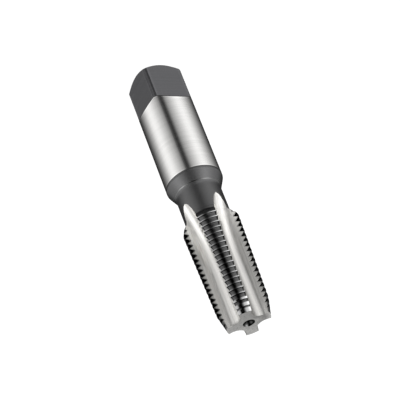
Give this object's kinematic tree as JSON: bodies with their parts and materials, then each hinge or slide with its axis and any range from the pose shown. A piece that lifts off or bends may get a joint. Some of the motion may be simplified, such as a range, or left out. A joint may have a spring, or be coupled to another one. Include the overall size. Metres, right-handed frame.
{
  "type": "taper pipe thread tap",
  "caption": "Short taper pipe tap: fluted right-hand thread with a cutting chamfer, dark necked-down stem, ground round shank and a driving square at the back end.",
  "frame": {"origin": "centre of the flat face at the square end, on the tap's axis; the tap stands on it", "axes": "+Z along the axis towards the cutting end; the flats of the driving square face +X, -X, +Y and -Y"},
  "size_m": [0.0142, 0.0142, 0.0746],
  "materials": {
    "steel": "ground steel, with a dark oxide on the square and the neck"
  },
  "bodies": {
    "root": {"tap": "steel"}
  },
  "joints": []
}
